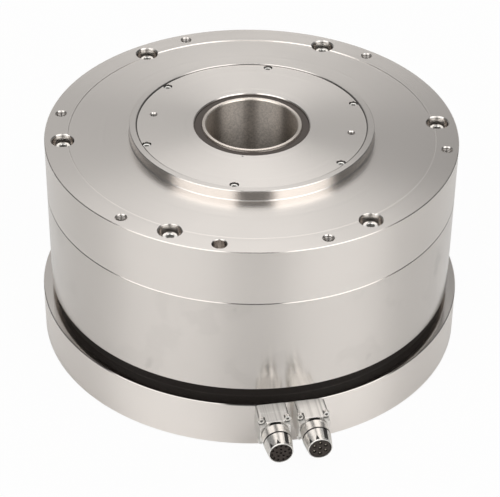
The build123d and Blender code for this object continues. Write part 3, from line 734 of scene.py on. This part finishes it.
def thread_lining(radius, depth, pitch, length):
    """Lining of a tapped hole that opens upwards at Z = 0.

    The inner radius is the wall's, less a ridge that rises and falls once in each pitch:
    depth times the triangle wave of height / pitch minus angle / turn. It fades at both ends.
    """
    angles = np.linspace(0, 2 * pi, 40, endpoint=False)
    height = np.linspace(0, -length, int(8 * length / pitch) + 1)[None, :]
    phase = (height / pitch - angles[:, None] / (2 * pi)) % 1
    ridge = 1 - np.abs(2 * phase - 1)
    fade = np.clip(np.minimum(-height, height + length) / (0.6 * pitch), 0, 1)
    inner = radius - depth * ridge * fade
    outer = np.full((len(angles), 2), radius + 0.02 * MM)
    heights = np.concatenate([height, [[-length, 0]]], axis=1)
    return turned_grid((np.concatenate([inner, outer], axis=1), heights), angles)


class MOTOR_OT_threads(bpy.types.Operator):
    """Cuts the threads of the tapped holes in the load face, the cover disc and the underside"""
    bl_idname = "motor.threads"
    bl_label = "Threads"

    def execute(self, context):
        layout = context.scene.motor_layout
        mouth = 0.95 * MM
        large = thread_lining(radius=4.24 * MM, depth=0.5 * MM, pitch=1.5 * MM, length=15 * MM)
        small = thread_lining(radius=2.49 * MM, depth=0.3 * MM, pitch=0.8 * MM, length=8.6 * MM)
        load = around_axis(LOAD_HOLES, layout.top - mouth, layout.pattern_count, layout.rotor_turn)
        jack = around_axis(JACK_HOLES, layout.cover_top - mouth, 2, layout.rotor_turn)
        fixing = around_axis(BASE_HOLES, mouth, 8, radians(22.5), flip=True)
        linings = (("load_hole_threads", large, load, "rotor"), ("jack_hole_threads", small, jack, "rotor"),
                   ("base_hole_threads", large, fixing, "base"))
        for name, lining, places, body in linings:
            add_piece(name, placed(lining, places), body, "machined_body",
                      wrap_columns=True, finish="tapped_wall")
        return {"FINISHED"}


# Contacts

def contact_pin(radius, height):
    """Round pin from Z = 0 with a domed tip: the radius falls as the cosine of the dome's angle."""
    angles = np.linspace(0, 2 * pi, 24, endpoint=False)
    dome = np.linspace(0, pi / 2, 6)
    sizes = np.concatenate([[0, radius, radius], radius * np.cos(dome)])
    heights = np.concatenate([[0, 0, height * 0.4], height - radius + radius * np.sin(dome)])
    return turned_grid((np.tile(sizes, (len(angles), 1)), heights), angles)


def contact_circle(count, radius):
    """Spots on a circle, the first of them at the top."""
    return [(radius * cos(a), radius * sin(a)) for a in pi / 2 + 2 * pi * np.arange(count) / count]


class MOTOR_OT_contacts(bpy.types.Operator):
    """Rounds the tips of the contacts in both sockets"""
    bl_idname = "motor.contacts"
    bl_label = "Contacts"

    def execute(self, context):
        layout = context.scene.motor_layout
        signal = [(0, 0)] + contact_circle(11, 7.4) + contact_circle(5, 3.7)
        power = [(0, 0)] + contact_circle(6, 5.45)
        # Side, name, spots, radius of a pin in mm, finish
        kinds = ((-1, "signal", signal, 0.45, "shaded_contact"), (1, "power", power, 0.75, "contact_gold"))
        for side, kind, spots, radius, finish in kinds:
            start = socket_frame(layout, side)
            places = [start @ Matrix.Translation((x * MM, y * MM, PIN_FOOT)) for x, y in spots]
            add_piece(f"{kind}_pins", placed(contact_pin(radius * MM, PIN_LENGTH), places),
                      "base", "contact_gold", [f"{kind}_contacts"], finish=finish)
        return {"FINISHED"}


# Finishes on the solids

class MOTOR_OT_finishes(bpy.types.Operator):
    """Makes a finish for each slot of the record and puts it on the solids"""
    bl_idname = "motor.finishes"
    bl_label = "Finishes"

    def execute(self, context):
        finishes.update(make_finishes(context.scene.motor_finish))
        for part in frame["record"]["subparts"]:
            for slot in frame["nodes"][part["node"]].material_slots:
                slot.material = finishes[part["material_slot"]]
        return {"FINISHED"}


# Studio

SENSOR_WIDTH = 36
FLOOR_DROP = 0.2 * MM


class MotorStudio(bpy.types.PropertyGroup):
    azimuth: FloatProperty(
        name="Azimuth", description="Where the camera stands around the motor",
        default=radians(-100.95), unit="ROTATION")
    elevation: FloatProperty(
        name="Elevation", description="How far the camera looks down",
        default=0.565082625, unit="ROTATION")
    pitch: FloatProperty(
        name="Pitch", description="Tilt of the camera below the middle of the top plate",
        default=-0.0620816913, unit="ROTATION")
    roll: FloatProperty(
        name="Roll", description="Turn of the camera about its own line of sight",
        default=0.0153106946, unit="ROTATION")
    distance: FloatProperty(
        name="Distance", description="Distance from the camera to the middle of the top plate",
        default=1.644889, unit="LENGTH")
    lens: FloatProperty(
        name="Lens", description="Focal length on a 36 mm wide picture", default=135.8, unit="CAMERA")
    box_level: FloatProperty(
        name="Soft boxes", description="Brightness of the two soft boxes in front", default=1.66, min=0)
    top_level: FloatProperty(
        name="Overhead box", description="Brightness of the soft box overhead", default=1.36, min=0)
    ceiling_level: FloatProperty(
        name="Ceiling", description="Brightness of the pale ceiling in front", default=1.15, min=0)
    air_level: FloatProperty(
        name="Room", description="Brightness of the dim room behind the motor", default=1.0, min=0)


def camera_place(studio):
    """Camera that stands back from the top plate, aimed a little below it and rolled."""
    down = studio.elevation
    stand = Vector((0, -studio.distance * cos(down), studio.distance * sin(down)))
    forward = Vector((0, cos(down), -sin(down)))
    rise = Vector((1, 0, 0)).cross(forward)
    aim = (forward + tan(studio.pitch) * rise).normalized()
    right = aim.cross(Vector((0, 0, 1))).normalized()
    up = right.cross(aim)
    across = cos(studio.roll) * right + sin(studio.roll) * up
    upward = cos(studio.roll) * up - sin(studio.roll) * right
    view = Matrix((across, upward, -aim)).transposed().to_4x4()
    view.translation = stand
    middle = Matrix.Translation((0, 0, LOAD_FACE))
    return middle @ Matrix.Rotation(studio.azimuth + pi / 2, 4, "Z") @ view


def window(graph, value, low, high, edge):
    """One between two angles in degrees, nothing outside, with soft edges."""
    rise = graph.soft_step(value, radians(low - edge), radians(low + edge))
    fall = graph.soft_step(value, radians(high - edge), radians(high + edge))
    return rise * (1 - fall)


def room(studio):
    """White for the camera; for the motor, two soft boxes in front and a large one over its back.

    The room behind the motor is dim, and brighter in the middle. The overhead box starts at
    about 40 degrees there, and a pale ceiling starts at about 60 degrees in front.
    """
    world = bpy.data.worlds.new("room")
    world.use_nodes = True
    graph = Graph(world.node_tree)
    x, y, z = graph.split(graph.node("ShaderNodeTexCoord", output="Generated"))
    front = x * cos(studio.azimuth) + y * sin(studio.azimuth)
    side = y * cos(studio.azimuth) - x * sin(studio.azimuth)
    bearing = graph.math("ARCTAN2", side, front)
    height = graph.math("ARCSINE", z)
    left = window(graph, bearing, low=-77, high=-14, edge=4)
    right = window(graph, bearing, low=22, high=80, edge=4)
    boxes = (left + right * 1.1) * window(graph, height, low=14, high=63, edge=12)
    behind = graph.soft_step(bearing.math("ABSOLUTE"), radians(115), radians(150))
    middle = graph.soft_step(side, 0.23, -0.01) * (1 - graph.soft_step(side, -0.15, -0.65) * 0.3)
    rise = graph.soft_step(height, radians(20), radians(40))
    low = (0.11 + middle * (0.18 + rise * 0.30)) * studio.air_level
    high = graph.soft_step(height, radians(36), radians(47)) * studio.top_level
    high = high * (0.86 + graph.soft_step(side, -0.3, 0.3) * 0.30)
    zenith = graph.soft_step(height, radians(68), radians(80))
    ahead = graph.soft_step(height, radians(54), radians(66)) * studio.ceiling_level
    level = boxes * studio.box_level + behind * (low + high) + (1 - behind) * ahead
    level = level * (1 - zenith) + zenith * (studio.top_level + studio.ceiling_level) * 0.43
    rays = graph.node("ShaderNodeLightPath").socket.node.outputs
    seen, mirrored, through = (
        Field(graph, rays[name]) for name in ("Is Camera Ray", "Is Glossy Ray", "Is Transmission Ray")
    )
    sky = graph.node("ShaderNodeBackground", (), {"Color": (1, 0.988, 0.97, 1), "Strength": level})
    white = graph.node("ShaderNodeBackground", (), {"Color": (1, 1, 1, 1), "Strength": 1.0})
    share = seen + through + mirrored * 0.12
    mixed = graph.node("ShaderNodeMixShader", (), {0: share, 1: sky, 2: white})
    graph.node("ShaderNodeOutputWorld", (), {"Surface": mixed})
    bpy.context.scene.world = world


def pale_floor():
    """Wide pale floor that shows white, and keeps part of its shadow.

    It lies a little below the underside, so that the two faces don't share a plane.
    """
    angles = np.linspace(0, 2 * pi, 96, endpoint=False)
    rings = np.tile(np.array([0.0, 0.4, 1.0, 4.0]), (len(angles), 1))
    grid = turned_grid((rings, np.full(rings.shape[1], -FLOOR_DROP)), angles)
    floor = bpy.data.objects.new("floor", grid_mesh("floor", grid[None], True, False))
    bpy.context.scene.collection.objects.link(floor)
    material, graph = empty_material("pale_floor")
    seen = graph.node("ShaderNodeLightPath", output="Is Camera Ray")
    mirrored = graph.node("ShaderNodeLightPath", output="Is Glossy Ray")
    matt = graph.node("ShaderNodeBsdfDiffuse", (), {"Color": (0.76, 0.76, 0.755, 1)})
    glossy = graph.node("ShaderNodeBsdfGlossy", (), {"Color": (0.9, 0.9, 0.9, 1), "Roughness": 0.46})
    gloss = (1 - seen) * 0.36
    paper = graph.node("ShaderNodeMixShader", (), {0: gloss, 1: matt, 2: glossy})
    glow = graph.node("ShaderNodeEmission", (), {"Color": (1, 1, 1, 1), "Strength": 1.0})
    share = seen * 0.96 + mirrored * 0.08
    graph.node("ShaderNodeOutputMaterial", (), {
        "Surface": graph.node("ShaderNodeMixShader", (), {0: share, 1: paper, 2: glow})
    })
    floor.data.materials.append(material)


class MOTOR_OT_studio(bpy.types.Operator):
    """Sets up the pale floor, the soft light and the camera"""
    bl_idname = "motor.studio"
    bl_label = "Studio"

    def execute(self, context):
        studio = context.scene.motor_studio
        camera = bpy.data.cameras.new("camera")
        camera.sensor_width = SENSOR_WIDTH
        camera.lens = studio.lens
        view = bpy.data.objects.new("camera", camera)
        view.matrix_world = camera_place(studio)
        context.scene.collection.objects.link(view)
        context.scene.camera = view
        room(studio)
        pale_floor()
        context.scene.view_settings.view_transform = "Standard"
        return {"FINISHED"}


class MOTOR_PT_dress(bpy.types.Panel):
    """Lists the steps that dress the motor, and their values"""
    bl_idname = "MOTOR_PT_dress"
    bl_label = "Torque motor"
    bl_space_type = "VIEW_3D"
    bl_region_type = "UI"
    bl_category = "Motor"

    def draw(self, context):
        scene = context.scene
        for step in steps:
            self.layout.operator(step.bl_idname)
        for values in (scene.motor_finish, scene.motor_layout, scene.motor_studio):
            for name in values.bl_rna.properties.keys():
                if name not in ("rna_type", "name"):
                    self.layout.prop(values, name)


steps = (MOTOR_OT_finishes, MOTOR_OT_screws, MOTOR_OT_threads, MOTOR_OT_contacts, MOTOR_OT_studio)
classes = (MotorFinish, MotorLayout, MotorStudio, *steps, MOTOR_PT_dress)


def register():
    for item in classes:
        bpy.utils.register_class(item)
    bpy.types.Scene.motor_finish = PointerProperty(type=MotorFinish)
    bpy.types.Scene.motor_layout = PointerProperty(type=MotorLayout)
    bpy.types.Scene.motor_studio = PointerProperty(type=MotorStudio)


def unregister():
    del bpy.types.Scene.motor_finish
    del bpy.types.Scene.motor_layout
    del bpy.types.Scene.motor_studio
    for item in reversed(classes):
        bpy.utils.unregister_class(item)


def main():
    register()
    bpy.ops.motor.finishes()
    bpy.ops.motor.screws()
    bpy.ops.motor.threads()
    bpy.ops.motor.contacts()
    bpy.ops.motor.studio()


if __name__ == "__main__":
    main()
